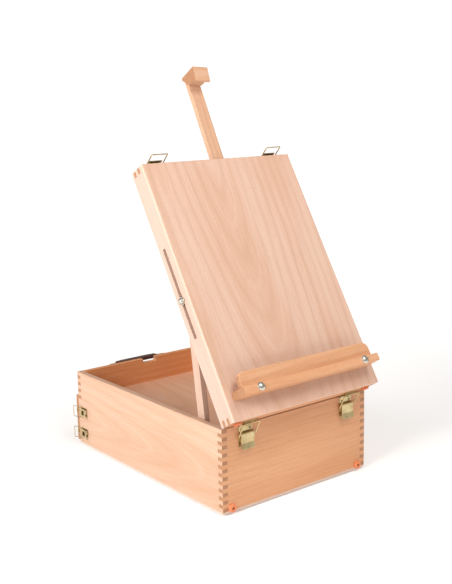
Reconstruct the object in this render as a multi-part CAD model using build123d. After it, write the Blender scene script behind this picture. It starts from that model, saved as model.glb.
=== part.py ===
"""Table-top box easel: a finger-jointed beech case with a tray, two rear drawers and a
drawing-board lid that is propped open, hinged along the top front edge of the case.

Millimetres, +Z up.  X runs along the front of the case, -Y is the front (where the
hinges are) and +Y is the back (where the drawers open).  The origin is on the surface
the easel stands on, under the middle of the case.  The lid is drawn lying flat in a
frame of its own: X across, Y from its front edge to its rear edge, Z from its open
underside to the face of the board.
"""
from build123d import *
import os

os.makedirs("parts", exist_ok=True)

# ---------------------------------------------------------------- driving dimensions
BOX_W = 300.0  # across the front
BOX_D = 420.0  # front to back
BOX_H = 133.0  # base panel and walls, without the feet
WALL = 10.0
BASE_T = 3.0  # base panel under the walls
PANEL_T = 4.0  # tray floor and shelf between the drawers
GROOVE = 5.0  # how far a panel is let into a wall
FINGERS = 21  # finger joint strips up a corner of the case
BACK_FINGERS = 8  # strips of that joint that the back wall takes part in
TRAY_DEPTH = 45.0
BACK_NOTCH_W = 30.0  # finger notch in the back wall
BACK_NOTCH_H = 8.0
FOOT_H = 4.0
FOOT_R = 6.5

LID_T = 35.0
BOARD_T = 5.0
LID_FINGERS = 5
LID_GAP = 0.5  # between the closed lid and the case
TILT = 59.0  # how far the lid stands open
HINGE_OUT = 2.2  # hinge axis in front of the case's front face
HINGE_X = 105.0
HINGE_LEN = 26.0
KNUCKLE_R = 1.9
LEAF_T = 1.0

SLOT_FROM = 137.0  # stay slot along the lid's side rails
SLOT_TO = 285.0
SLOT_W = 7.0
STAY_Y = 198.5  # where the stay bolt is clamped in that slot
STAY_Z = 14.2
STRUT_FOOT_Y = -150.0  # lower end of the struts, inside the tray
STRUT_FOOT_Z = 106.0  # above the underside of the case
STRUT_W = 16.5
STRUT_T = 9.5
STRUT_GAP = 1.0  # between a strut and the side beside it
BOLT_R = 3.0

LEDGE_FROM = 29.5  # canvas ledge, measured along the board
LEDGE_T = 12.0
LEDGE_OUT = 34.0
LEDGE_HALF = 138.0
LIP_HALF = 134.0
LIP_T = 7.5
LIP_SET_BACK = 10.5
LIP_H = 23.5
LIP_ROUND = 12.0
LEDGE_BOLT_X = 107.5

MAST_W = 24.0
MAST_T = 8.0
MAST_PIVOT = 371.0  # clamp screw, measured along the board
MAST_LEAN = 3.6  # the mast leans this far in its notch
MAST_BELOW = 71.0
MAST_ABOVE = 203.5
MAST_BACK = 21.7  # back face of the mast above the lid's open side
NOTCH_HALF = 16.0
SADDLE_HALF = 30.0  # guide behind the board
SADDLE_LEN = 35.0
SADDLE_T = 20.0
SADDLE_GAP = 13.5  # half the width of its groove
PAD_ROOM = 2.1  # groove floor below the mast
PAD_R = 6.0
CLAMP_R = 3.0
KNOB_R = 11.0
KNOB_T = 7.0
KNOB_FLUTES = 8
HOOK_W = 29.0
HOOK_T = 18.0  # of the block, measured along the mast
BEAK_H = 25.0  # of its front face, down to the beak's tip

DRAWER_FRONT_T = 8.0
DRAWER_SIDE_T = 8.0
DRAWER_BOTTOM_T = 3.0
DRAWER_H = 34.0
DRAWER_IN = 403.0  # how far a drawer reaches into the case

HANDLE_HALF = 46.0
HANDLE_Z = 123.0
HANDLE_UP = -4.0  # above level, so it droops a little

# ---------------------------------------------------------------- worked-out places
BOTTOM = FOOT_H
TOP = BOTTOM + BOX_H
X1 = BOX_W / 2
Y1 = BOX_D / 2
STRIP = (BOX_H - BASE_T) / FINGERS
TRAY_TOP = TOP - TRAY_DEPTH
SHELF_TOP = BOTTOM + 48.0
BACK_BOTTOM = TOP - BACK_FINGERS * STRIP
RIM_T = LID_T - BOARD_T
HINGE_AXIS = (-Y1 - HINGE_OUT, TOP + LID_GAP / 2)
LID = Location((0, *HINGE_AXIS), (TILT, 0, 0)) * Location((0, HINGE_OUT, LID_GAP / 2))
MAST = LID * Location((0, MAST_PIVOT, 0), (0, 0, -MAST_LEAN))


# ---------------------------------------------------------------- small helpers
def block(x, y, z):
    """A box from three (low, high) pairs."""
    low, high = (min(x), min(y), min(z)), (max(x), max(y), max(z))
    return Pos(*low) * Box(*(b - a for a, b in zip(low, high)), align=(Align.MIN,) * 3)


def rod(start, end, radius):
    """A round bar between two points."""
    start, end = Vector(*start), Vector(*end)
    plane = Plane(origin=start, z_dir=end - start)
    return plane * Cylinder(radius, (end - start).length, align=(Align.CENTER,) * 2 + (Align.MIN,))


def eased(shape, size, *axes):
    """Edges along the given axes softened by a small round."""
    edges = [edge for axis in axes for edge in shape.edges().filter_by(axis)]
    return fillet(edges, size)


def save(name, *shapes):
    """Writes one node: a single solid, or a group of separate solids."""
    solids = [solid for shape in shapes for solid in shape.solids()]
    for number, solid in enumerate(solids):
        solid.label = f"{name}_{number + 1}" if len(solids) > 1 else name
    whole = solids[0] if len(solids) == 1 else Compound(label=name, children=solids)
    export_step(whole, f"parts/{name}.step")


def strips(x, y, top, height, count, odd):
    """Every second strip of a finger joint, counted down from the top."""
    step = height / count
    return [
        block(x, y, (top - (i + 1) * step, top - i * step))
        for i in range(1 if odd else 0, count, 2)
    ]


# ---------------------------------------------------------------- case
def case_panels():
    """Base, tray floor and the shelf between the drawers."""
    inner = X1 - WALL + GROOVE
    base = block((-X1, X1), (-Y1, Y1), (BOTTOM, BOTTOM + BASE_T))
    floor = block((-inner, inner), (-Y1 + GROOVE, Y1 - GROOVE), (TRAY_TOP - PANEL_T, TRAY_TOP))
    shelf = block((-inner, inner), (-Y1 + GROOVE, Y1 - 1), (SHELF_TOP - PANEL_T, SHELF_TOP))
    return base, floor, shelf


def case_walls(floor, shelf):
    """Four walls, finger-jointed at the corners and grooved for the panels."""
    height = BOX_H - BASE_T
    z = (BOTTOM + BASE_T, TOP)
    front_y, back_y = (-Y1, -Y1 + WALL), (Y1 - WALL, Y1)
    walls = {}
    for name, side in (("box_left_side", -1), ("box_right_side", 1)):
        x = (side * X1, side * (X1 - WALL))
        wall = eased(block(x, (-Y1, Y1), z), 0.6, Axis.Y)
        wall -= strips(x, front_y, TOP, height, FINGERS, True)
        wall -= strips(x, back_y, TOP, BACK_FINGERS * STRIP, BACK_FINGERS, True)
        walls[name] = wall - floor - shelf
    front = eased(block((-X1, X1), front_y, z), 0.6, Axis.X)
    back = eased(block((-X1, X1), back_y, (BACK_BOTTOM, TOP)), 0.6, Axis.X)
    for side in (-1, 1):
        x = (side * X1, side * (X1 - WALL))
        front -= strips(x, front_y, TOP, height, FINGERS, False)
        back -= strips(x, back_y, TOP, BACK_FINGERS * STRIP, BACK_FINGERS, False)
    outline = RectangleRounded(BACK_NOTCH_W, 2 * BACK_NOTCH_H, 2.5)
    notch = Pos(0, Y1 - WALL / 2, TOP) * Rot(90, 0, 0) * extrude(outline, WALL, both=True)
    walls["box_front"] = front - floor - shelf
    walls["box_back"] = back - floor - notch
    return walls


FOOT_X, FOOT_Y = X1 - 17.0, Y1 - 17.0
FRONT_FOOT_Z = BOTTOM + 7.0
SCREW_HOLE_R = 2.4


def foot(plane):
    """A round buffer with a sunk screw hole, standing on a plane."""
    body = Cylinder(FOOT_R, FOOT_H, align=(Align.CENTER,) * 2 + (Align.MIN,))
    body = fillet(body.edges().sort_by(Axis.Z)[-1:], 1.2)
    body -= Pos(0, 0, 1.2) * Cylinder(SCREW_HOLE_R, FOOT_H, align=(Align.CENTER,) * 2 + (Align.MIN,))
    return plane * body


def foot_screw(plane):
    """The screw head at the bottom of a foot's hole."""
    return plane * Pos(0, 0, 1.2) * Cylinder(SCREW_HOLE_R, 1.0, align=(Align.CENTER,) * 2 + (Align.MIN,))


def case_foot_planes():
    """Four feet under the case and two on its front wall."""
    places = [(x, y, BOTTOM) for x in (-FOOT_X, FOOT_X) for y in (-FOOT_Y, FOOT_Y)]
    under = [Plane(origin=place, z_dir=(0, 0, -1)) for place in places]
    front = [Plane(origin=(x, -Y1, FRONT_FOOT_Z), z_dir=(0, -1, 0)) for x in (-FOOT_X, FOOT_X)]
    return under + front


# ---------------------------------------------------------------- drawers
DRAWER_SEAT = {"upper": SHELF_TOP + 0.4, "lower": BOTTOM + BASE_T + 0.4}
DRAWER_FRONT_Z = {
    "upper": (BOTTOM + 46.4, BOTTOM + 88.0),
    "lower": (BOTTOM + 4.0, BOTTOM + 45.6),
}
DRAWER_HALF = X1 - WALL - 0.6
DRAWER_BACK = Y1 + 0.3


def drawer(level):
    """A drawer's overlaid front, and its tray of two sides, an end and a bottom."""
    seat = DRAWER_SEAT[level]
    end = DRAWER_BACK - DRAWER_IN
    front = block((-X1, X1), (DRAWER_BACK, DRAWER_BACK + DRAWER_FRONT_T), DRAWER_FRONT_Z[level])
    front = eased(front, 0.8, Axis.X, Axis.Z)
    z = (seat, seat + DRAWER_H)
    inner = DRAWER_HALF - DRAWER_SIDE_T
    let_in = DRAWER_SIDE_T / 2
    bottom_z = (seat + 2, seat + 2 + DRAWER_BOTTOM_T)
    bottom = block((-inner - let_in, inner + let_in), (end + let_in, DRAWER_BACK), bottom_z)
    tray = [
        block((side * inner, side * DRAWER_HALF), (end, DRAWER_BACK), z) - bottom
        for side in (-1, 1)
    ]
    tray.append(block((-inner, inner), (end, end + DRAWER_SIDE_T), z) - bottom)
    tray.append(bottom)
    return front, tray


# ---------------------------------------------------------------- lid
def lid_rails():
    """The rim under the board, with the mast notch and the two stay slots."""
    z = (0, RIM_T)
    rails = {}
    for name, side in (("lid_left_rail", -1), ("lid_right_rail", 1)):
        x = (side * X1, side * (X1 - WALL))
        rail = eased(block(x, (0, BOX_D), z), 0.6, Axis.Y)
        for y in ((0, WALL), (BOX_D - WALL, BOX_D)):
            rail -= strips(x, y, RIM_T, RIM_T, LID_FINGERS, True)
        middle = Pos(side * (X1 - WALL / 2), (SLOT_FROM + SLOT_TO) / 2, STAY_Z)
        slot = extrude(SlotOverall(SLOT_TO - SLOT_FROM, SLOT_W, rotation=90), WALL, both=True)
        rails[name] = rail - middle * Rot(0, 90, 0) * slot
    for name, y in (("lid_front_rail", (0, WALL)), ("lid_rear_rail", (BOX_D - WALL, BOX_D))):
        rail = eased(block((-X1, X1), y, z), 0.6, Axis.X)
        for side in (-1, 1):
            x = (side * X1, side * (X1 - WALL))
            rail -= strips(x, y, RIM_T, RIM_T, LID_FINGERS, False)
        rails[name] = rail
    mast_notch = block((-NOTCH_HALF, NOTCH_HALF), (BOX_D - WALL - 1, BOX_D + 1), (MAST_BACK - 0.5, RIM_T + 1))
    rails["lid_rear_rail"] -= mast_notch
    return rails


def drawing_board():
    """The panel that the drawing lies on, glued to the rim."""
    board = block((-X1, X1), (0, BOX_D), (RIM_T, LID_T))
    return fillet(board.edges().group_by(Axis.Z)[-1], 0.8)


def ledge():
    """The shelf across the board, the lip along it, and the two bolts that hold it."""
    z = (LID_T, LID_T + LEDGE_OUT)
    shelf = block((-LEDGE_HALF, LEDGE_HALF), (LEDGE_FROM, LEDGE_FROM + LEDGE_T), z)
    shelf = eased(shelf, 0.8, Axis.X, Axis.Y)
    outline = Pos(0, LIP_H / 2) * Rectangle(2 * LIP_HALF, LIP_H)
    outline = fillet(outline.vertices().group_by(Axis.Y)[-1], LIP_ROUND)
    front = LID_T + LEDGE_OUT - LIP_SET_BACK
    lip = Pos(0, LEDGE_FROM + LEDGE_T, front - LIP_T) * extrude(outline, LIP_T)
    lip = fillet(lip.edges().group_by(Axis.Z)[-1], 0.8)
    middle = LEDGE_FROM + LEDGE_T / 2
    bolts = []
    for x in (-LEDGE_BOLT_X, LEDGE_BOLT_X):
        shank = rod((x, middle, RIM_T - 5), (x, middle, z[1]), 2.5)
        dome = Pos(x, middle, z[1] - 6.0) * Sphere(9.0)
        dome &= block((x - 9, x + 9), (middle - 9, middle + 9), (z[1], z[1] + 9))
        nut = Pos(x, middle, RIM_T - 4) * extrude(RegularPolygon(4.6, 6), 4) - shank
        bolts += [shank + dome, nut]
        shelf -= shank
    return shelf, lip, bolts


def mast_guide():
    """The saddle behind the board that the mast slides through."""
    along = (MAST_PIVOT - SADDLE_LEN / 2, MAST_PIVOT + SADDLE_LEN / 2)
    saddle = eased(block((-SADDLE_HALF, SADDLE_HALF), along, (RIM_T - SADDLE_T, RIM_T)), 1.5, Axis.Z)
    past = (along[0] - 1, along[1] + 1)
    saddle -= block((-SADDLE_GAP, SADDLE_GAP), past, (MAST_BACK - PAD_ROOM, RIM_T + 1))
    return saddle - rod((0, MAST_PIVOT, 0), (0, MAST_PIVOT, RIM_T), CLAMP_R + 0.05)


def mast_clamp():
    """The thumb screw in the saddle and the pad it presses on the mast."""
    pad = rod((0, MAST_PIVOT, MAST_BACK - PAD_ROOM + 0.3), (0, MAST_PIVOT, MAST_BACK - 0.3), PAD_R)
    screw = rod((0, MAST_PIVOT, KNOB_T), (0, MAST_PIVOT, MAST_BACK - PAD_ROOM), CLAMP_R)
    grip = Pos(0, MAST_PIVOT, 1) * extrude(Circle(KNOB_R), KNOB_T)
    for i in range(KNOB_FLUTES):
        flute = Pos(KNOB_R + 1.6, 0, 0) * Cylinder(3, 40)
        grip -= Pos(0, MAST_PIVOT, 0) * Rot(0, 0, 360 / KNOB_FLUTES * i) * flute
    grip = fillet(grip.edges().group_by(Axis.Z)[0], 1.0)
    return pad, screw + grip


def mast_and_hook():
    """The slat and the beaked block on its end, in the leaning mast's own frame."""
    z = (MAST_BACK, MAST_BACK + MAST_T)
    slat = eased(block((-MAST_W / 2, MAST_W / 2), (-MAST_BELOW, MAST_ABOVE), z), 0.8, Axis.Y)
    top = MAST_ABOVE + 5.0
    outline = [
        (top, MAST_BACK - 1.5),
        (top, 58.0),
        (top - BEAK_H, 54.5),
        (top - BEAK_H, 51.0),
        (top - HOOK_T, 51.0),
        (top - HOOK_T, MAST_BACK + MAST_T),
        (top - 5.5, MAST_BACK - 0.2),
        (top - 5.5, MAST_BACK - 1.5),
    ]
    profile = make_face(Polyline(*[(0, y, h) for y, h in outline], close=True))
    hook = extrude(profile, HOOK_W / 2, both=True)
    hook = fillet(hook.edges().filter_by(Axis.X).sort_by(Axis.Z)[-2:], 1.0) - slat
    return slat, hook


# ---------------------------------------------------------------- struts
def lid_point(x, y, z):
    """A point of the lid's own frame, where it is with the lid open."""
    return (LID * Pos(x, y, z)).position


STAY_POINT = lid_point(0, STAY_Y, STAY_Z)
FOOT_POINT = Vector(0, STRUT_FOOT_Y, BOTTOM + STRUT_FOOT_Z)
STRUT_IN = X1 - WALL - STRUT_GAP  # outer face of a strut
STRUT_LEN = (STAY_POINT - FOOT_POINT).length


def strut(side):
    """A prop between the tray's side and the stay bolt, with a hole at each end."""
    bar = SlotCenterToCenter(STRUT_LEN, STRUT_W) - Pos(STRUT_LEN / 2, 0) * Circle(BOLT_R + 0.05)
    bar = extrude(bar, STRUT_T)
    bar = fillet(bar.edges().filter_by(GeomType.LINE).group_by(Axis.Z)[0], 0.8)
    middle = (STAY_POINT + FOOT_POINT) * 0.5
    along = STAY_POINT - FOOT_POINT
    face = Plane(origin=(side * STRUT_IN, middle.Y, middle.Z), x_dir=along, z_dir=(-side, 0, 0))
    return face * bar


def stay_bolt(side):
    """Bolt head inside the strut, shank through the slot, washer and domed nut outside."""
    y, z = STAY_Y, STAY_Z
    inside, outside = side * (STRUT_IN - STRUT_T - 0.3), side * (X1 + 0.3)
    shank = rod((inside, y, z), (outside + side * 4, y, z), BOLT_R)
    head = rod((inside - side * 2.5, y, z), (inside, y, z), 4.5)
    washer = rod((outside, y, z), (outside + side * 1.0, y, z), 6.5) - shank
    dome = Pos(outside + side * 1.0, y, z) * Sphere(5.2)
    dome &= block((outside + side * 1.0, outside + side * 9), (y - 9, y + 9), (z - 9, z + 9))
    return [LID * part for part in (shank + head, washer, dome - shank)]


# ---------------------------------------------------------------- hinges
def knuckle(x_low, x_high, y, z):
    """One rolled knuckle of a hinge."""
    return rod((x_low, y, z), (x_high, y, z), KNUCKLE_R) - rod((x_low - 1, y, z), (x_high + 1, y, z), 1.05)


def hinge(x):
    """A case leaf with two knuckles, a lid leaf with one, and the pin."""
    y, z = HINGE_AXIS
    low, high = x - HINGE_LEN / 2, x + HINGE_LEN / 2
    third = HINGE_LEN / 3
    case_leaf = block((low, high), (-Y1 - LEAF_T, -Y1), (z - 12, z - KNUCKLE_R - 0.3))
    for a, b in ((low, low + third - 0.2), (high - third + 0.2, high)):
        case_leaf += knuckle(a, b, y, z) + block((a, b), (-Y1 - LEAF_T, -Y1), (z - 4, z - 1.3))
    lid_leaf = block((low, high), (-LEAF_T, 0), (KNUCKLE_R + 0.1, 16))
    lid_leaf += block((low + third + 0.2, high - third - 0.2), (-LEAF_T, 0), (1.0, 4))
    lid_leaf += knuckle(low + third + 0.2, high - third - 0.2, -HINGE_OUT, -LID_GAP / 2)
    pin = rod((low - 0.8, y, z), (high + 0.8, y, z), 1.0)
    return case_leaf, LID * lid_leaf, pin


# ---------------------------------------------------------------- draw latches
FRONT, REAR, SIDE = 1.0, 0.95, 0.62  # sizes of the three kinds of latch
LATCH_TAIL = {FRONT: -37.0, REAR: -28.0, SIDE: -29.0}
LATCH_BAIL = {FRONT: 27.2, REAR: 25.8, SIDE: 18.0}


def latch_size(scale):
    """The sizes of a draw latch, from the big one at the front."""
    sizes = dict(half=14.0, pivot=-14.0, high=3.5, bail_at=-19.0, bail_high=3.4, bail_half=15.8, wire=1.0)
    sizes = {name: value * scale for name, value in sizes.items()}
    sizes.update(tail=LATCH_TAIL[scale], bail=LATCH_BAIL[scale])
    return sizes


def latch_base(s, scale):
    """Fixed plate with two ears and the lever's pin.  Y points at the strike, Z outward."""
    base = block((-s["half"], s["half"]), (s["tail"] + 2 * scale, s["pivot"] - 1.5 * scale), (0, 1.0 * scale))
    for side in (-1, 1):
        x = (side * s["half"], side * (s["half"] - 1.0 * scale))
        base += block(x, (s["pivot"] - 2 * scale, s["pivot"] + 1.6 * scale), (0, s["high"] + 1.8 * scale))
        base += block(x, (s["pivot"] - 2 * scale, s["pivot"] - 1.5 * scale), (0, 1.0 * scale))
    reach = s["half"] + 0.8 * scale
    return base + rod((-reach, s["pivot"], s["high"]), (reach, s["pivot"], s["high"]), 0.9 * scale)


def latch_lever(s, scale, window):
    """Rolled at its pin, flanged at the bail's holes and flared at its tail."""
    half = s["half"] - 1.4 * scale
    y, z = s["pivot"], s["high"]
    plate_z = (z + 1.4 * scale, z + 2.6 * scale)
    bend = s["tail"] + 9 * scale
    lever = block((-half, half), (bend, y), plate_z)
    lever += rod((-half, y, z), (half, y, z), 2.6 * scale)
    tab = block((-half, half), (s["tail"] - bend, 0.8 * scale), (-1.2 * scale, 0))
    lever += Pos(0, bend, plate_z[1]) * Rot(-14, 0, 0) * tab
    for side in (-1, 1):
        x = (side * half, side * (half - 1.2 * scale))
        lever += block(x, (y - 11 * scale, y - 2.8 * scale), (z - 1.9 * scale, plate_z[1]))
    lever -= rod((-half - 1, y, z), (half + 1, y, z), 0.95 * scale)
    holes = [(x, s["bail_at"], s["bail_high"]) for x in (-half - 1, half + 1)]
    lever -= rod(*holes, s["wire"] + 0.05)
    if window:
        lever -= block((-half * 0.5, half * 0.5), (bend + 2 * scale, y - 8 * scale), (0, 10))
    return lever


def latch_bail(s, scale, lean):
    """The wire loop, leaning outward from the strike direction by an angle."""
    reach, inside = s["bail_half"], s["half"] - 2.6 * scale
    route = [(-inside, 0, 0), (-reach, 0, 0), (-reach, s["bail"], 0)]
    route += [(-x, y, z) for x, y, z in reversed(route)]
    path = FilletPolyline(*route, radius=1.5 * scale)
    wire = sweep(Plane(origin=path @ 0, z_dir=path % 0) * Circle(s["wire"]), path=path)
    return Pos(0, s["bail_at"], s["bail_high"]) * Rot(lean, 0, 0) * wire


def strike(scale):
    """A plate with a hook that holds the bail's crossbar."""
    plate = block((-8.5, 8.5), (3.2, 13), (0, 1.0))
    post = block((-6, 6), (4, 5), (0, 4.6))
    lip = block((-6, 6), (4, 7.6), (3.6, 4.6))
    return (plate + post + lip).scale(scale) if scale != 1 else plate + post + lip


def latch_frame(origin, x_dir, z_dir):
    """Where a latch is: origin on the parting line, Z outward, Y towards the strike."""
    return Location(Plane(origin=origin, x_dir=x_dir, z_dir=z_dir))


REAR_LATCH_X = 117.0
SIDE_LATCH_Z = {"upper": BOTTOM + 60.0, "lower": BOTTOM + 21.0}
FRONT_LEAN, SIDE_LEAN, REAR_LEAN = 27.0, 20.0, 164.0  # of the slack bails
SIDE_STRIKE = 0.55
LATCHES = {}
for place, side in (("left", -1), ("right", 1)):
    LATCHES[f"front_{place}"] = (
        latch_frame((side * HINGE_X, -Y1, TOP), (1, 0, 0), (0, -1, 0)), FRONT, FRONT_LEAN, False
    )
    LATCHES[f"rear_{place}"] = (
        LID * latch_frame((side * REAR_LATCH_X, BOX_D, 0), (1, 0, 0), (0, 1, 0)), REAR, REAR_LEAN, True
    )
    for level, height in SIDE_LATCH_Z.items():
        LATCHES[f"{level}_{place}"] = (
            latch_frame((side * X1, Y1, height), (0, 0, -side), (side, 0, 0)), SIDE, SIDE_LEAN, True
        )


# ---------------------------------------------------------------- handle
HANDLE_AXIS = (Y1 + 5.0, BOTTOM + HANDLE_Z)
HANDLE_REACH = 31.0
HANDLE_FRAME = Location((0, *HANDLE_AXIS), (HANDLE_UP, 0, 0))
BRACKET_X = HANDLE_HALF + 12.0


def handle():
    """Leather grip, a brass loop at each end of it, and the brackets on the back wall."""
    grip = Pos(0, HANDLE_REACH, 0) * extrude(RectangleRounded(2 * HANDLE_HALF, 18, 8), 4, both=True)
    grip = fillet(grip.edges().group_by(Axis.Z)[0] + grip.edges().group_by(Axis.Z)[-1], 2.5)
    loops, brackets = [], []
    for side in (-1, 1):
        end_x = HANDLE_HALF - 6.0
        route = [
            (BRACKET_X - 9, 0, 0),
            (BRACKET_X + 9, 0, 0),
            (BRACKET_X + 9, HANDLE_REACH - 6, 0),
            (BRACKET_X, HANDLE_REACH, 0),
            (end_x, HANDLE_REACH, 0),
        ]
        route = [(side * x, y, z) for x, y, z in route]
        path = FilletPolyline(*route, radius=2.5)
        loops.append(sweep(Plane(origin=path @ 0, z_dir=path % 0) * Circle(1.6), path=path))
        grip -= rod((side * end_x, HANDLE_REACH, 0), (side * (HANDLE_HALF + 2), HANDLE_REACH, 0), 1.6)
        y, z = HANDLE_AXIS
        x = side * BRACKET_X
        plate = block((x - 10, x + 10), (Y1, Y1 + 1.2), (z - 9, z + 9))
        eye = rod((x - 5, y, z), (x + 5, y, z), 3.4) + block((x - 5, x + 5), (Y1, y), (z - 3.4, z + 3.4))
        brackets.append(plate + eye - rod((x - 11, y, z), (x + 11, y, z), 1.68))
    return HANDLE_FRAME * grip, [HANDLE_FRAME * loop for loop in loops], brackets


# ---------------------------------------------------------------- screws
def screw_head(plane, x, y, radius=1.7, height=0.9):
    """A low round screw head standing on a plate."""
    return plane * Pos(x, y) * Cylinder(radius, height, align=(Align.CENTER,) * 2 + (Align.MIN,))


def case_screws():
    """Feet, hinge leaves, handle brackets and strikes on the case."""
    heads = [foot_screw(plane) for plane in case_foot_planes()]
    for side in (-1, 1):
        leaf = Plane(origin=(side * HINGE_X, -Y1 - LEAF_T, TOP), x_dir=(1, 0, 0), z_dir=(0, -1, 0))
        heads += [screw_head(leaf, x, -7.5) for x in (-8, 8)]
        plate = Plane(origin=(side * BRACKET_X, Y1 + 1.2, HANDLE_AXIS[1]), x_dir=(1, 0, 0), z_dir=(0, 1, 0))
        heads += [screw_head(plate, x, y, 1.5) for x in (-7.5, 7.5) for y in (-6.5, 6.5)]
    return heads


def lid_foot_planes():
    """Two feet on the lid's front edge."""
    return [Plane(origin=(x, 0, LID_T / 2), z_dir=(0, -1, 0)) for x in (-FOOT_X, FOOT_X)]


def lid_screws():
    """Feet and hinge leaves on the lid."""
    heads = [foot_screw(plane) for plane in lid_foot_planes()]
    for side in (-1, 1):
        leaf = Plane(origin=(side * HINGE_X, -LEAF_T, 0), x_dir=(1, 0, 0), z_dir=(0, -1, 0))
        heads += [screw_head(leaf, x, 12.5) for x in (-10.3, 10.3)]
    return heads


# ---------------------------------------------------------------- build every node
base, floor, shelf = case_panels()
save("bottom_panel", base)
save("tray_floor", floor)
save("drawer_shelf", shelf)
for name, wall in case_walls(floor, shelf).items():
    save(name, wall)
save("case_feet", *[foot(plane) for plane in case_foot_planes()])
save("case_screws", *case_screws())

for level in ("upper", "lower"):
    drawer_front, drawer_tray = drawer(level)
    save(f"{level}_drawer_front", drawer_front)
    save(f"{level}_drawer_tray", *drawer_tray)

for name, rail in lid_rails().items():
    save(name, LID * rail)
ledge_shelf, ledge_lip, ledge_bolts = ledge()
board = drawing_board()
for part in ledge_bolts:
    board -= part
save("drawing_board", LID * board)
save("ledge_shelf", LID * ledge_shelf)
save("ledge_lip", LID * ledge_lip)
save("ledge_bolts", *[LID * part for part in ledge_bolts])
save("lid_feet", *[LID * foot(plane) for plane in lid_foot_planes()])
save("lid_screws", *[LID * head for head in lid_screws()])
save("mast_guide", LID * mast_guide())

clamp_pad, clamp_knob = mast_clamp()
slat, hook = mast_and_hook()
save("mast_clamp_pad", LID * clamp_pad)
save("mast_clamp_knob", LID * clamp_knob)
save("mast", MAST * slat)
save("mast_hook", MAST * hook)

for place, side in (("left", -1), ("right", 1)):
    save(f"{place}_strut", strut(side))
    save(f"{place}_stay_bolt", *stay_bolt(side))

leaves = [hinge(side * HINGE_X) for side in (-1, 1)]
save("hinge_case_leaves", *[case_leaf for case_leaf, lid_leaf, pin in leaves])
save("hinge_lid_leaves", *[lid_leaf for case_leaf, lid_leaf, pin in leaves])
save("hinge_pins", *[pin for case_leaf, lid_leaf, pin in leaves])

case_bases, lid_bases = [], []
for name, (frame, scale, lean, window) in LATCHES.items():
    size = latch_size(scale)
    bases = lid_bases if name.startswith("rear") else case_bases
    bases.append(frame * latch_base(size, scale))
    save(f"{name}_lever", frame * latch_lever(size, scale, window))
    save(f"{name}_bail", frame * latch_bail(size, scale, lean))
save("case_latch_bases", *case_bases)
save("lid_latch_bases", *lid_bases)

front_strikes = [
    LID * latch_frame((side * HINGE_X, -LEAF_T, 0), (1, 0, 0), (0, -1, 0)) * strike(1) for side in (-1, 1)
]
rear_strikes = [
    latch_frame((side * REAR_LATCH_X, Y1, TOP), (1, 0, 0), (0, 1, 0)) * strike(REAR) for side in (-1, 1)
]
save("lid_strikes", *front_strikes)
save("case_strikes", *rear_strikes)
for level, height in SIDE_LATCH_Z.items():
    side_strikes = [
        latch_frame((side * X1, DRAWER_BACK, height), (0, 0, -side), (side, 0, 0)) * strike(SIDE_STRIKE)
        for side in (-1, 1)
    ]
    save(f"{level}_drawer_strikes", *side_strikes)

handle_grip, handle_loops, handle_brackets = handle()
save("handle_grip", handle_grip)
save("handle_loops", *handle_loops)
save("handle_brackets", *handle_brackets)
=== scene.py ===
import math

import bmesh
import bpy
import numpy as np
from mathutils import Matrix, Vector


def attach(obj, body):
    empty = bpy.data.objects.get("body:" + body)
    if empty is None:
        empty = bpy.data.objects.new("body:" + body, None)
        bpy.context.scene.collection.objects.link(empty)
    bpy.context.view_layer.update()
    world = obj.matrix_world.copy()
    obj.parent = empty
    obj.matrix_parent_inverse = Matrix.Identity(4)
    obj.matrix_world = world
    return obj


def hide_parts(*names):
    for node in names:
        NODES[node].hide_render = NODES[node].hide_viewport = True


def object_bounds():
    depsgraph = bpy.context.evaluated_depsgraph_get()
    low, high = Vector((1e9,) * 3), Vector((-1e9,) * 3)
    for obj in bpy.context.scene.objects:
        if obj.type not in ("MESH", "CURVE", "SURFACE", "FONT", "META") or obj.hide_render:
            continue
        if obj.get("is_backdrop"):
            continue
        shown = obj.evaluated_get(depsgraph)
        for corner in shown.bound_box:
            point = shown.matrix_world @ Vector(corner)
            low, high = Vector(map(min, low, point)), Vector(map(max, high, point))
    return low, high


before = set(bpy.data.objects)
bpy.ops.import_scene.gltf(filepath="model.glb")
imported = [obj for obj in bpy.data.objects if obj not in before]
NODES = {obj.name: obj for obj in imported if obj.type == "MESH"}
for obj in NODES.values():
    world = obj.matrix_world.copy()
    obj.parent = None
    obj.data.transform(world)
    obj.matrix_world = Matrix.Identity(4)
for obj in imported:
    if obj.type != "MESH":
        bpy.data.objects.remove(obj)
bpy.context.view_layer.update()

BEVEL_SAMPLES = 4

# ---------------------------------------------------------------- the easel's own directions
LID_TILT = math.radians(59.0)
MAST_LEAN = math.radians(3.6)
STRUT_TILT = math.radians(82.1)
FLOOR_Z = 0.0
HINGE_LINE = Vector((0, -0.2122, 0.13725))
HINGE_OUT = 0.0022  # from the lid's front edge out to its hinge line
HALF_LID_GAP = 0.00025  # from the hinge line to the lid's open side

ACROSS = Vector((1, 0, 0))
DEPTH = Vector((0, 1, 0))
UP = Vector((0, 0, 1))
ALONG_LID = Vector((0, math.cos(LID_TILT), math.sin(LID_TILT)))
OFF_BOARD = Vector((0, -math.sin(LID_TILT), math.cos(LID_TILT)))
ALONG_MAST = ALONG_LID * math.cos(MAST_LEAN) + ACROSS * math.sin(MAST_LEAN)
ALONG_STRUT = Vector((0, math.cos(STRUT_TILT), math.sin(STRUT_TILT)))

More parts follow.
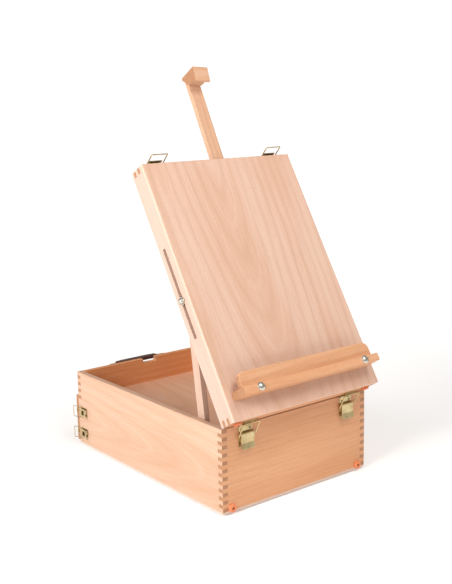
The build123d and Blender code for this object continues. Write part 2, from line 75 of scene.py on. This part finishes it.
# ---------------------------------------------------------------- colours, linear
BEECH = dict(pale=(0.70, 0.465, 0.335), mid=(0.64, 0.395, 0.265), dark=(0.48, 0.245, 0.13))
BACK_BEECH = dict(pale=(0.84, 0.385, 0.17), mid=(0.76, 0.31, 0.12), dark=(0.50, 0.18, 0.065))
# darker, more orange beech for the parts facing the front: the shade on the front faces painted into their
# colour
FRONT_SHADE_BEECH = dict(pale=(0.74, 0.395, 0.215), mid=(0.66, 0.32, 0.155), dark=(0.44, 0.19, 0.085))
PALE_BEECH = dict(pale=(0.66, 0.475, 0.395), mid=(0.61, 0.42, 0.335), dark=(0.50, 0.30, 0.20))
BOARD_BEECH = dict(pale=(0.72, 0.50, 0.39), mid=(0.66, 0.41, 0.29), dark=(0.50, 0.27, 0.165))
PALE_STREAK = (0.78, 0.60, 0.48)
TRAY_BEECH = dict(pale=(0.84, 0.50, 0.33), mid=(0.75, 0.42, 0.26), dark=(0.55, 0.28, 0.15))
PANEL_BEECH = dict(pale=(0.68, 0.47, 0.33), mid=(0.60, 0.395, 0.26), dark=(0.44, 0.26, 0.15))
TRIM_BEECH = dict(pale=(0.75, 0.425, 0.245), mid=(0.69, 0.35, 0.18), dark=(0.50, 0.21, 0.085))
MAST_BEECH = dict(pale=(0.66, 0.40, 0.255), mid=(0.61, 0.34, 0.20), dark=(0.46, 0.20, 0.10))
STRUT_BEECH = dict(pale=(0.64, 0.46, 0.37), mid=(0.58, 0.39, 0.295), dark=(0.44, 0.25, 0.16))
END_GRAIN = (0.42, 0.20, 0.10)
END_PORES = (0.25, 0.105, 0.05)
END_PATCH = (0.60, 0.33, 0.18)
# lighter sharp edges: sanded wear together with a painted highlight
EDGE_WEAR_AND_HIGHLIGHT = (0.86, 0.62, 0.44)
ARCH_TIP = 0.47  # where the arches of the grain start, along the grain
PLY_VENEER = (0.74, 0.58, 0.47)
PLY_MIDDLE = (0.58, 0.39, 0.27)


# ---------------------------------------------------------------- node helpers
def add(tree, kind, settings=None, **inputs):
    """A new shader node, with its settings and its input values or links."""
    node = tree.nodes.new("ShaderNode" + kind)
    for name, value in (settings or {}).items():
        setattr(node, name, value)
    for name, value in inputs.items():
        feed(tree, value, node.inputs[name.replace("_", " ")])
    return node


def feed(tree, value, socket):
    """Links an output into a socket, or sets the socket's own value."""
    if isinstance(value, bpy.types.NodeSocket):
        tree.links.new(value, socket)
    elif isinstance(value, (tuple, list)) and len(value) == 3 and socket.type == "RGBA":
        socket.default_value = (*value, 1.0)
    else:
        socket.default_value = value


def maths(tree, operation, first, second=0.0):
    """One sum on two values or outputs."""
    node = add(tree, "Math", {"operation": operation})
    feed(tree, first, node.inputs[0])
    feed(tree, second, node.inputs[1])
    return node.outputs[0]


def vector_maths(tree, operation, first, second):
    """One sum on two vectors or outputs."""
    node = add(tree, "VectorMath", {"operation": operation})
    feed(tree, first, node.inputs[0])
    feed(tree, second, node.inputs[1])
    return node.outputs["Value"] if operation == "DOT_PRODUCT" else node.outputs["Vector"]


def blend(tree, factor, first, second):
    """Colour mix of two colours or outputs."""
    node = add(tree, "Mix", {"data_type": "RGBA"})
    feed(tree, factor, node.inputs[0])
    feed(tree, first, node.inputs[6])
    feed(tree, second, node.inputs[7])
    return node.outputs[2]


def steps(tree, factor, low, high):
    """0 below low, 1 above high, smooth between."""
    settings = {"interpolation_type": "SMOOTHSTEP"}
    node = add(tree, "MapRange", settings, Value=factor, From_Min=low, From_Max=high)
    return node.outputs["Result"]


def between(tree, factor, low, high):
    """A 0..1 pattern turned into a range of values."""
    return add(tree, "MapRange", Value=factor, To_Min=low, To_Max=high).outputs["Result"]


def noise(tree, place, stretch, detail=2.0, roughness=0.5, distortion=0.0):
    """Noise with a different number of cells per metre along each direction."""
    spot = vector_maths(tree, "MULTIPLY", place, stretch)
    inputs = dict(Vector=spot, Scale=1.0, Detail=detail, Roughness=roughness, Distortion=distortion)
    return add(tree, "TexNoise", **inputs).outputs[0]


def new_material(name):
    """A material with a Principled shader."""
    material = bpy.data.materials.new(name)
    material.use_nodes = True
    tree = material.node_tree
    shader = tree.nodes["Principled BSDF"]
    return material, tree, shader


def rounded_normal(tree, radius):
    """Normals that soften a sharp edge, and a mask that is 1 along it."""
    soft = add(tree, "Bevel", {"samples": BEVEL_SAMPLES}, Radius=radius).outputs["Normal"]
    true = add(tree, "NewGeometry").outputs["Normal"]
    flatness = vector_maths(tree, "DOT_PRODUCT", soft, true)
    return soft, steps(tree, maths(tree, "SUBTRACT", 1.0, flatness), 0.01, 0.20)


# ---------------------------------------------------------------- wood
def grain_space(tree, grain, face, seed):
    """Coordinates in metres with x along the grain and z out of the face, shifted by a seed."""
    across = face.cross(grain).normalized()
    turn = Matrix((grain, across, grain.cross(across))).to_euler()
    place = add(tree, "TexCoord").outputs["Object"]
    shift = (0.37 * seed, 0.53 * seed, 0.29 * seed)
    return add(tree, "Mapping", Vector=place, Location=shift, Rotation=turn).outputs["Vector"]


def growth_rings(tree, grain, face, spacing, arch, tip, heart):
    """Lines where growth rings meet a sawn face, 1 at each line's late wood and 0 between lines.

    They run straight for an arch of 0 and narrow to a V for a higher one, away from the tip.
    tip is a distance along the grain, and heart is how far across the middle of the log is.
    """
    place = grain_space(tree, grain, face, 0)
    parts = add(tree, "SeparateXYZ", Vector=place)
    wander = maths(tree, "SUBTRACT", noise(tree, place, (3.2, 18, 18), 3.0, 0.55), 0.5)
    across = maths(tree, "SUBTRACT", parts.outputs["Y"], heart)
    across = maths(tree, "ADD", across, maths(tree, "MULTIPLY", wander, 0.022))
    rise = maths(tree, "MULTIPLY", maths(tree, "SUBTRACT", parts.outputs["X"], tip), arch)
    flat = add(tree, "CombineXYZ", X=across, Y=rise)
    radius = add(tree, "VectorMath", {"operation": "LENGTH"}, Vector=flat.outputs["Vector"]).outputs["Value"]
    turns = maths(tree, "FRACT", maths(tree, "DIVIDE", radius, spacing))
    swing = maths(tree, "SUBTRACT", maths(tree, "MULTIPLY", turns, 2.0), 1.0)
    return maths(tree, "ABSOLUTE", swing)


def wood(name, tones, grain, face, seed, figure, spacing, arch, plies=None):
    """Beech: soft growth lines, fibres, short dark flecks, end grain, and edges lightened for sanded wear
    and a painted highlight.

    plies is the thickness and the lower face's distance for a sheet whose edges show layers.
    """
    material, tree, shader = new_material(name)
    place = grain_space(tree, grain, face, seed)

    tone = steps(tree, noise(tree, place, (2.6, 14, 14), 4.0, 0.6), 0.30, 0.70)
    colour = blend(tree, tone, tones["pale"], tones["mid"])

    heart = 0.02 + 0.012 * (seed % 5)
    rings = growth_rings(tree, grain, face, spacing, arch, ARCH_TIP, heart)
    strength = between(tree, noise(tree, place, (2.0, 20, 20), 2.0), 0.0, figure)
    late_wood = steps(tree, rings, 0.55, 1.0)
    colour = blend(tree, maths(tree, "MULTIPLY", late_wood, strength), colour, tones["dark"])
    early_wood = steps(tree, rings, 0.22, 0.0)
    colour = blend(tree, maths(tree, "MULTIPLY", early_wood, strength), colour, PALE_STREAK)

    vessels = steps(tree, noise(tree, place, (9, 420, 420), 2.0, 0.6), 0.52, 0.70)
    colour = blend(tree, maths(tree, "MULTIPLY", vessels, 0.24), colour, tones["dark"])
    fibre = noise(tree, place, (24, 1100, 1100), 3.0, 0.65)
    colour = blend(tree, between(tree, fibre, 0.0, 0.20), colour, tones["dark"])
    fleck = steps(tree, noise(tree, place, (170, 1300, 1300), 1.0), 0.60, 0.70)
    colour = blend(tree, maths(tree, "MULTIPLY", fleck, 0.34), colour, tones["dark"])

    normal = add(tree, "TexCoord").outputs["Normal"]
    if plies:
        colour = ply_edges(tree, colour, place, normal, face, plies)
    else:
        colour = end_grain(tree, colour, place, normal, grain)

    soft, edge = rounded_normal(tree, 0.0009)
    # lighter along every sharp edge: sanded wear and a painted highlight of the rounded edge
    colour = blend(tree, maths(tree, "MULTIPLY", edge, 0.35), colour, EDGE_WEAR_AND_HIGHLIGHT)
    feed(tree, colour, shader.inputs["Base Color"])
    feed(tree, between(tree, fibre, 0.46, 0.66), shader.inputs["Roughness"])
    height = maths(tree, "SUBTRACT", fibre, maths(tree, "MULTIPLY", fleck, 0.8))
    bump = add(tree, "Bump", Strength=0.22, Distance=0.0003, Height=height, Normal=soft)
    feed(tree, bump.outputs["Normal"], shader.inputs["Normal"])
    shader.inputs["Specular IOR Level"].default_value = 0.35
    return material


def end_grain(tree, colour, place, normal, grain):
    """Darker, porous end grain on faces cut across the fibres."""
    cut = maths(tree, "ABSOLUTE", vector_maths(tree, "DOT_PRODUCT", normal, tuple(grain)))
    cut = maths(tree, "GREATER_THAN", cut, 0.8)
    pores = steps(tree, noise(tree, place, (300, 1500, 1500), 2.0, 0.7), 0.42, 0.66)
    patch = noise(tree, place, (10, 90, 90), 2.0)
    ends = blend(tree, maths(tree, "MULTIPLY", pores, 0.7), END_GRAIN, END_PORES)
    ends = blend(tree, between(tree, patch, 0.0, 0.35), ends, END_PATCH)
    return blend(tree, cut, colour, ends)


def ply_edges(tree, colour, place, normal, face, plies):
    """Layers on the edge of a sheet: two pale veneers with a darker core between them."""
    thickness, low = plies
    facing = maths(tree, "ABSOLUTE", vector_maths(tree, "DOT_PRODUCT", normal, tuple(face)))
    edge = maths(tree, "LESS_THAN", facing, 0.5)
    object_place = add(tree, "TexCoord").outputs["Object"]
    level = vector_maths(tree, "DOT_PRODUCT", object_place, tuple(face))
    level = maths(tree, "DIVIDE", maths(tree, "SUBTRACT", level, low), thickness)
    from_middle = maths(tree, "ABSOLUTE", maths(tree, "SUBTRACT", level, 0.5))
    core = maths(tree, "SUBTRACT", 1.0, steps(tree, from_middle, 0.18, 0.26))
    streak = between(tree, noise(tree, place, (60, 60, 1500), 2.0, 0.7), 0.35, 0.9)
    layers = blend(tree, maths(tree, "MULTIPLY", core, streak), PLY_VENEER, PLY_MIDDLE)
    return blend(tree, edge, colour, layers)


# ---------------------------------------------------------------- metal, rubber and leather
def metal(name, clean, stained, smooth, rough):
    """A plated or lacquered metal with stains, fine scratches, and edges brightened for rubbed wear and a
    painted highlight.
    """
    material, tree, shader = new_material(name)
    place = add(tree, "TexCoord").outputs["Object"]
    stain = steps(tree, noise(tree, place, (75, 75, 75), 4.0, 0.6), 0.35, 0.75)
    colour = blend(tree, stain, clean, stained)
    soft, edge = rounded_normal(tree, 0.0004)
    # brighter than the clean metal along every sharp edge: rubbed wear and a painted highlight
    bright = tuple(min(1.0, channel * 1.25) for channel in clean)
    colour = blend(tree, maths(tree, "MULTIPLY", edge, 0.6), colour, bright)
    feed(tree, colour, shader.inputs["Base Color"])
    shader.inputs["Metallic"].default_value = 1.0
    scratch = noise(tree, place, (900, 2250, 360), 3.0, 0.7)
    feed(tree, between(tree, scratch, smooth, rough), shader.inputs["Roughness"])
    bump = add(tree, "Bump", Strength=0.12, Distance=0.0002, Height=scratch, Normal=soft)
    feed(tree, bump.outputs["Normal"], shader.inputs["Normal"])
    return material


def rubber(name, fresh, dusty):
    """Moulded rubber with a fine bloom and rubbed edges."""
    material, tree, shader = new_material(name)
    place = add(tree, "TexCoord").outputs["Object"]
    bloom = noise(tree, place, (420, 420, 420), 4.0, 0.65)
    soft, edge = rounded_normal(tree, 0.0007)
    colour = blend(tree, steps(tree, bloom, 0.4, 0.75), fresh, dusty)
    colour = blend(tree, maths(tree, "MULTIPLY", edge, 0.4), colour, dusty)
    feed(tree, colour, shader.inputs["Base Color"])
    feed(tree, between(tree, bloom, 0.5, 0.75), shader.inputs["Roughness"])
    bump = add(tree, "Bump", Strength=0.2, Distance=0.0003, Height=bloom, Normal=soft)
    feed(tree, bump.outputs["Normal"], shader.inputs["Normal"])
    return material


def hide(name, main, creased, worn):
    """Leather with a pebbled grain, creases across the grip and rubbed high spots."""
    material, tree, shader = new_material(name)
    place = add(tree, "TexCoord").outputs["Object"]
    pebbles = add(tree, "TexVoronoi", {"feature": "SMOOTH_F1"}, Vector=place, Scale=950.0).outputs[0]
    crease = noise(tree, place, (260, 60, 60), 4.0, 0.7, 0.6)
    rub = steps(tree, noise(tree, place, (45, 45, 45), 3.0), 0.5, 0.75)
    colour = blend(tree, steps(tree, crease, 0.45, 0.62), main, creased)
    colour = blend(tree, maths(tree, "MULTIPLY", rub, 0.45), colour, worn)
    feed(tree, colour, shader.inputs["Base Color"])
    feed(tree, between(tree, pebbles, 0.34, 0.58), shader.inputs["Roughness"])
    height = maths(tree, "ADD", pebbles, maths(tree, "MULTIPLY", crease, 0.9))
    bump = add(tree, "Bump", Strength=0.45, Distance=0.0005, Height=height)
    feed(tree, bump.outputs["Normal"], shader.inputs["Normal"])
    return material


def thread(name, colour_a, colour_b):
    """Twisted sewing thread."""
    material, tree, shader = new_material(name)
    place = add(tree, "TexCoord").outputs["Object"]
    twist = add(tree, "TexWave", {"bands_direction": "DIAGONAL"}, Vector=place, Scale=420.0).outputs["Fac"]
    feed(tree, blend(tree, twist, colour_a, colour_b), shader.inputs["Base Color"])
    shader.inputs["Roughness"].default_value = 0.8
    bump = add(tree, "Bump", Strength=0.4, Distance=0.0002, Height=twist)
    feed(tree, bump.outputs["Normal"], shader.inputs["Normal"])
    return material


# ---------------------------------------------------------------- finishes of the CAD parts
def paint(node, material):
    """Gives a CAD part its one material."""
    slots = NODES[node].data.materials
    slots.clear()
    slots.append(material)


def lid_level(height):
    """How far a level of the lid is from the origin, measured square to the board."""
    return HINGE_LINE.dot(OFF_BOARD) + HALF_LID_GAP + height


WOODS = {
    # part: tones, grain, face, figure, growth-ring spacing, arch
    "box_front": (FRONT_SHADE_BEECH, ACROSS, DEPTH, 0.16, 0.007, 0.0),
    "box_back": (BACK_BEECH, ACROSS, DEPTH, 0.32, 0.012, 0.05),
    "box_left_side": (BEECH, DEPTH, ACROSS, 0.35, 0.014, 0.10),
    "box_right_side": (BEECH, DEPTH, ACROSS, 0.35, 0.013, 0.08),
    "lid_left_rail": (PALE_BEECH, ALONG_LID, ACROSS, 0.25, 0.012, 0.0),
    "lid_right_rail": (PALE_BEECH, ALONG_LID, ACROSS, 0.25, 0.012, 0.0),
    "lid_front_rail": (FRONT_SHADE_BEECH, ACROSS, ALONG_LID, 0.30, 0.010, 0.0),
    "lid_rear_rail": (BEECH, ACROSS, ALONG_LID, 0.30, 0.010, 0.0),
    "ledge_shelf": (TRIM_BEECH, ACROSS, ALONG_LID, 0.30, 0.008, 0.0),
    "ledge_lip": (TRIM_BEECH, ACROSS, OFF_BOARD, 0.45, 0.009, 0.06),
    "mast": (MAST_BEECH, ALONG_MAST, OFF_BOARD, 0.35, 0.010, 0.04),
    "mast_hook": (MAST_BEECH, ACROSS, ALONG_MAST, 0.30, 0.008, 0.0),
    "mast_guide": (BEECH, ACROSS, ALONG_LID, 0.30, 0.008, 0.0),
    "left_strut": (STRUT_BEECH, ALONG_STRUT, ACROSS, 0.30, 0.009, 0.0),
    "right_strut": (STRUT_BEECH, ALONG_STRUT, ACROSS, 0.30, 0.009, 0.0),
    "upper_drawer_front": (FRONT_SHADE_BEECH, ACROSS, DEPTH, 0.45, 0.011, 0.05),
    "lower_drawer_front": (FRONT_SHADE_BEECH, ACROSS, DEPTH, 0.45, 0.011, 0.07),
    "upper_drawer_tray": (PANEL_BEECH, DEPTH, ACROSS, 0.30, 0.012, 0.0),
    "lower_drawer_tray": (PANEL_BEECH, DEPTH, ACROSS, 0.30, 0.012, 0.0),
}

PANELS = {
    # part: tones, sheet thickness, grain, face, level of the sheet's lower face, figure, ring spacing, arch
    "drawing_board": (BOARD_BEECH, 0.005, ALONG_LID, OFF_BOARD, lid_level(0.030), 0.48, 0.017, 0.16),
    "bottom_panel": (PALE_BEECH, 0.003, DEPTH, UP, 0.004, 0.30, 0.016, 0.05),
    "tray_floor": (TRAY_BEECH, 0.004, DEPTH, UP, 0.088, 0.40, 0.018, 0.12),
    "drawer_shelf": (PANEL_BEECH, 0.004, DEPTH, UP, 0.048, 0.30, 0.016, 0.08),
}

for seed, (node, values) in enumerate(WOODS.items(), start=1):
    tones, grain, face, figure, spacing, arch = values
    paint(node, wood(f"beech_{node}", tones, grain, face, seed, figure, spacing, arch))

for seed, (node, values) in enumerate(PANELS.items(), start=40):
    tones, thickness, grain, face, low, figure, spacing, arch = values
    paint(node, wood(f"ply_{node}", tones, grain, face, seed, figure, spacing, arch, (thickness, low)))

brass = metal("aged_brass", (0.66, 0.53, 0.29), (0.44, 0.34, 0.165), 0.22, 0.40)
dark_screw = metal("screw_metal", (0.55, 0.45, 0.26), (0.20, 0.15, 0.09), 0.28, 0.5)
bright_steel = metal("bright_steel", (0.64, 0.62, 0.54), (0.42, 0.40, 0.33), 0.22, 0.40)
foot_rubber = rubber("foot_rubber", (0.74, 0.20, 0.07), (0.82, 0.36, 0.20))
leather = hide("handle_leather", (0.070, 0.018, 0.012), (0.030, 0.008, 0.006), (0.17, 0.055, 0.034))
stitching = thread("handle_thread", (0.42, 0.26, 0.13), (0.22, 0.12, 0.06))

for node in NODES:
    if node in ("case_feet", "lid_feet"):
        paint(node, foot_rubber)
    elif node in ("ledge_bolts", "left_stay_bolt", "right_stay_bolt"):
        paint(node, bright_steel)
    elif node in ("case_screws", "lid_screws"):
        paint(node, dark_screw)
    elif node == "handle_grip":
        paint(node, leather)
    elif node not in WOODS and node not in PANELS:
        paint(node, brass)


# ---------------------------------------------------------------- extra pieces
def shown(name, mesh, material, body):
    """Turns a finished bmesh into a smooth piece that rides on a body."""
    data = bpy.data.meshes.new(name)
    bmesh.ops.recalc_face_normals(mesh, faces=mesh.faces)
    mesh.to_mesh(data)
    mesh.free()
    for face in data.polygons:
        face.use_smooth = True
    data.set_sharp_from_angle(angle=math.radians(35))
    data.materials.append(material)
    piece = bpy.data.objects.new(name, data)
    bpy.context.scene.collection.objects.link(piece)
    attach(piece, body)
    return piece


def facing(centre, outward, turn):
    """A frame at a point whose z points outward, turned about it."""
    aim = outward.to_track_quat("Z", "Y").to_matrix().to_4x4()
    return Matrix.Translation(centre) @ aim @ Matrix.Rotation(turn, 4, "Z")


def slotted_head(mesh, place, radius, height, slot=0.0006, depth=0.0006):
    """A domed screw head with a straight slot, added to a bmesh."""
    head = bmesh.new()
    bmesh.ops.create_uvsphere(head, u_segments=24, v_segments=14, radius=1.0)
    low = [v for v in head.verts if v.co.z < -0.01]
    bmesh.ops.delete(head, geom=low, context="VERTS")
    bmesh.ops.scale(head, vec=(radius, radius, height), verts=head.verts)
    for side in (-1, 1):
        everything = head.verts[:] + head.edges[:] + head.faces[:]
        bmesh.ops.bisect_plane(head, geom=everything, plane_co=(side * slot / 2, 0, 0), plane_no=(1, 0, 0))
    strip = [f for f in head.faces if abs(f.calc_center_median().x) < slot / 2]
    grown = bmesh.ops.extrude_face_region(head, geom=strip)["geom"]
    bmesh.ops.delete(head, geom=strip, context="FACES_ONLY")
    for vert in (v for v in grown if isinstance(v, bmesh.types.BMVert)):
        vert.co.z = max(0.0, vert.co.z - depth)
    rim = [e for e in head.edges if e.is_boundary and max(v.co.z for v in e.verts) < 1e-5]
    bmesh.ops.extrude_edge_only(head, edges=rim)
    bmesh.ops.transform(head, matrix=place, verts=head.verts)
    data = bpy.data.meshes.new("head")
    head.to_mesh(data)
    head.free()
    mesh.from_mesh(data)
    bpy.data.meshes.remove(data)


def solids_of(node):
    """Centre, flat direction and radius of each separate disc in a CAD part."""
    mesh = bmesh.new()
    mesh.from_mesh(NODES[node].data)
    bmesh.ops.remove_doubles(mesh, verts=mesh.verts, dist=1e-6)
    waiting, found = set(mesh.verts), []
    while waiting:
        group, edge_of_group = set(), [next(iter(waiting))]
        while edge_of_group:
            vert = edge_of_group.pop()
            if vert in group:
                continue
            group.add(vert)
            edge_of_group += [e.other_vert(vert) for e in vert.link_edges]
        waiting -= group
        spots = np.array([v.co for v in group])
        middle = (spots.min(0) + spots.max(0)) / 2
        directions = np.linalg.eigh(np.cov((spots - middle).T))[1]
        flat = Vector(directions[:, 0])
        radius = float(np.linalg.norm(spots - middle, axis=1).max())
        found.append((Vector(middle), flat, radius))
    mesh.free()
    found.sort(key=lambda item: tuple(round(c, 4) for c in item[0]))
    return found


def dress_screws(node, body):
    """Slotted domes over the plain screw heads of one CAD part."""
    mesh = bmesh.new()
    away_from = Vector((0, 0, 0.07)) if body == "case" else Vector((0, -0.05, 0.32))
    for index, (centre, flat, radius) in enumerate(solids_of(node)):
        outward = flat if flat.dot(centre - away_from) > 0 else -flat
        slotted_head(mesh, facing(centre, outward, 0.9 * index), radius * 0.92, radius * 0.42)
    piece = shown(f"{node}_slotted", mesh, dark_screw, body)
    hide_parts(node)


def screw_set(name, body, spots, radius):
    """Small brass screw heads at (point, outward) places on one body."""
    mesh = bmesh.new()
    for index, (centre, outward) in enumerate(spots):
        place = facing(centre, outward, 1.3 * index)
        slotted_head(mesh, place, radius, radius * 0.5, radius * 0.3, radius * 0.3)
    shown(name, mesh, brass, body)


def lid_point(x, along, height):
    """A point of the lid, in metres from its front edge and its open side."""
    forward = ALONG_LID * (along + HINGE_OUT)
    return HINGE_LINE + forward + OFF_BOARD * (height + HALF_LID_GAP) + ACROSS * x


def sized_ring(mesh, centre, half_width, half_thick, sides, roundness):
    """One closed cross-section of the grip, square to X."""
    ring = []
    for i in range(sides):
        angle = math.tau * i / sides
        y = math.copysign(abs(math.cos(angle)) ** roundness, math.cos(angle)) * half_width
        z = math.copysign(abs(math.sin(angle)) ** roundness, math.sin(angle)) * half_thick
        ring.append(mesh.verts.new(centre + Vector((0, y, z))))
    return ring


def grip_shape(x):
    """Half the width and half the thickness of the leather at a distance from its middle."""
    along = abs(x) / GRIP_HALF
    end = math.sqrt(max(0.0, 1 - max(0.0, (along - 0.86) / 0.14) ** 2))
    pinch = 0.10 * math.exp(-(((along - 0.83) / 0.035) ** 2))
    swell = 1 - 0.10 * along**2
    wide = GRIP_WIDE * swell * (0.50 + 0.50 * end) * (1 - pinch)
    thick = GRIP_THICK * (0.45 + 0.55 * end) * (1 - pinch)
    return wide, thick


GRIP_HALF, GRIP_WIDE, GRIP_THICK = 0.0455, 0.0088, 0.0039
GRIP_RINGS, GRIP_SIDES = 57, 36
GRIP_ROUND = 0.62  # below 1 squares the grip's section off
STITCH_PITCH, STITCH_HALF, STITCH_R = 0.0032, 0.0011, 0.00032
STITCH_ROW = 0.72  # of the way out to the grip's edge
HANDLE_AXIS = Matrix.Translation((0, 0.215, 0.127))
HANDLE_TURN = Matrix.Rotation(math.radians(-4.0), 4, "X")
HANDLE_REACH = Matrix.Translation((0, 0.031, 0))
GRIP_PLACE = HANDLE_AXIS @ HANDLE_TURN @ HANDLE_REACH


def leather_grip():
    """A folded and sewn strap: crowned and pinched at its ends."""
    mesh = bmesh.new()
    rings = []
    for i in range(GRIP_RINGS):
        x = -GRIP_HALF * math.cos(math.pi * i / (GRIP_RINGS - 1))
        wide, thick = grip_shape(x)
        rings.append(sized_ring(mesh, Vector((x, 0, 0)), wide, thick, GRIP_SIDES, GRIP_ROUND))
    for near, far in zip(rings, rings[1:]):
        for i in range(GRIP_SIDES):
            after = (i + 1) % GRIP_SIDES
            mesh.faces.new((near[i], near[after], far[after], far[i]))
    mesh.faces.new(rings[0])
    mesh.faces.new(reversed(rings[-1]))
    bmesh.ops.transform(mesh, matrix=GRIP_PLACE, verts=mesh.verts)
    piece = shown("sewn_grip", mesh, leather, "handle")
    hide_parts("handle_grip")


def grip_stitches():
    """Short raised stitches sunk into both faces of the grip."""
    mesh = bmesh.new()
    count = int(0.72 * GRIP_HALF / STITCH_PITCH)
    for step in range(-count, count + 1):
        x = step * STITCH_PITCH
        wide, thick = grip_shape(x)
        for row in (-1, 1):
            y = row * wide * STITCH_ROW
            z = thick * (1 - STITCH_ROW ** (2 / GRIP_ROUND)) ** (GRIP_ROUND / 2)
            for face_side in (-1, 1):
                spot = Matrix.Translation((x, y, face_side * (z - STITCH_R * 0.2)))
                size = Matrix.Diagonal((STITCH_HALF, STITCH_R, STITCH_R, 1))
                place = GRIP_PLACE @ spot @ size
                bmesh.ops.create_uvsphere(mesh, u_segments=8, v_segments=6, radius=1.0, matrix=place)
    shown("grip_stitches", mesh, stitching, "handle")


dress_screws("case_screws", "case")
dress_screws("lid_screws", "lid")
leather_grip()
grip_stitches()

LATCH_X, REAR_LATCH_X = 0.105, 0.117
SCREW_R = 0.0015
for name, side in (("left", -1), ("right", 1)):
    front = [(lid_point(side * LATCH_X + x, -0.002, 0.0098), -ALONG_LID) for x in (-0.0064, 0.0064)]
    screw_set(f"front_{name}_strike_screws", "lid", front, SCREW_R)
    rear = [(Vector((side * REAR_LATCH_X + x, 0.2109, 0.1277)), DEPTH) for x in (-0.006, 0.006)]
    screw_set(f"rear_{name}_strike_screws", "case", rear, SCREW_R)
    pivot = [(Vector((side * 0.1295, -0.150, 0.110)), -side * ACROSS)]
    screw_set(f"{name}_strut_pivot_screw", f"{name}_strut", pivot, 0.0042)
saddle = [(lid_point(x, 0.371 + y, 0.010), -OFF_BOARD) for x in (-0.023, 0.023) for y in (-0.010, 0.010)]
screw_set("mast_guide_screws", "lid", saddle, 0.0026)


# ---------------------------------------------------------------- camera, floor and light
CAMERA_AT = Vector((-0.97844, -1.28222, 0.61547))
CAMERA_TURN = math.radians(38.151)
CAMERA_DOWN = math.radians(11.353)
CAMERA_ROLL = math.radians(-1.17)
LENS = 59.88
FLOOR_GLOW = (0.22, 0.85)  # near the easel, and far from it
WORLD_LIGHT = 0.40
WORLD_SEEN = 1.1  # the backdrop's brightness to the camera alone


def make_camera():
    """The photograph's viewpoint."""
    forward = Vector((
        math.sin(CAMERA_TURN) * math.cos(CAMERA_DOWN),
        math.cos(CAMERA_TURN) * math.cos(CAMERA_DOWN),
        -math.sin(CAMERA_DOWN),
    ))
    level = Vector((math.cos(CAMERA_TURN), -math.sin(CAMERA_TURN), 0))
    above = level.cross(forward)
    right = level * math.cos(CAMERA_ROLL) + above * math.sin(CAMERA_ROLL)
    up = -level * math.sin(CAMERA_ROLL) + above * math.cos(CAMERA_ROLL)
    data = bpy.data.cameras.new("camera")
    data.lens = LENS
    data.clip_end = 50.0
    camera = bpy.data.objects.new("camera", data)
    turn = Matrix((right, up, -forward)).transposed().to_4x4()
    camera.matrix_world = Matrix.Translation(CAMERA_AT) @ turn
    bpy.context.scene.collection.objects.link(camera)
    bpy.context.scene.camera = camera


def area_light(name, place, target, size, watts, colour):
    """A round soft light aimed at a point."""
    data = bpy.data.lights.new(name, "AREA")
    data.shape = "DISK"
    data.size = size
    data.energy = watts
    data.color = colour
    lamp = bpy.data.objects.new(name, data)
    lamp.location = place
    lamp.rotation_euler = (Vector(target) - Vector(place)).to_track_quat("-Z", "Y").to_euler()
    bpy.context.scene.collection.objects.link(lamp)


def make_floor():
    """A wide pale floor."""
    mesh = bmesh.new()
    bmesh.ops.create_grid(mesh, x_segments=2, y_segments=2, size=6.0)
    bmesh.ops.translate(mesh, vec=(0, 0, FLOOR_Z), verts=mesh.verts)
    data = bpy.data.meshes.new("floor")
    mesh.to_mesh(data)
    mesh.free()
    material, tree, shader = new_material("pale_floor")
    shader.inputs["Base Color"].default_value = (0.93, 0.93, 0.93, 1)
    shader.inputs["Roughness"].default_value = 0.9
    shader.inputs["Specular IOR Level"].default_value = 0.0
    shader.inputs["Emission Color"].default_value = (1, 1, 1, 1)
    place = add(tree, "TexCoord").outputs["Object"]
    away = add(tree, "VectorMath", {"operation": "LENGTH"}, Vector=place).outputs["Value"]
    glow = between(tree, steps(tree, away, 0.4, 2.6), *FLOOR_GLOW)
    feed(tree, glow, shader.inputs["Emission Strength"])
    data.materials.append(material)
    floor = bpy.data.objects.new("floor", data)
    bpy.context.scene.collection.objects.link(floor)
    floor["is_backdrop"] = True


def make_world():
    """Even light from all round, with a white backdrop to the camera."""
    world = bpy.data.worlds.new("studio")
    world.use_nodes = True
    background = world.node_tree.nodes["Background"]
    background.inputs["Color"].default_value = (1.0, 0.99, 0.98, 1)
    tree = world.node_tree
    seen = add(tree, "LightPath").outputs["Is Camera Ray"]
    feed(tree, between(tree, seen, WORLD_LIGHT, WORLD_SEEN), background.inputs["Strength"])
    bpy.context.scene.world = world


make_camera()
make_floor()
make_world()
area_light("key", (-2.7, -0.5, 1.5), (0, 0, 0.2), 1.4, 78.0, (1.0, 0.98, 0.96))
area_light("top", (0.2, -1.6, 2.5), (0, 0, 0.2), 1.4, 33.0, (1.0, 0.95, 0.90))
bpy.context.scene.view_settings.view_transform = "Standard"

low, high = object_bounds()
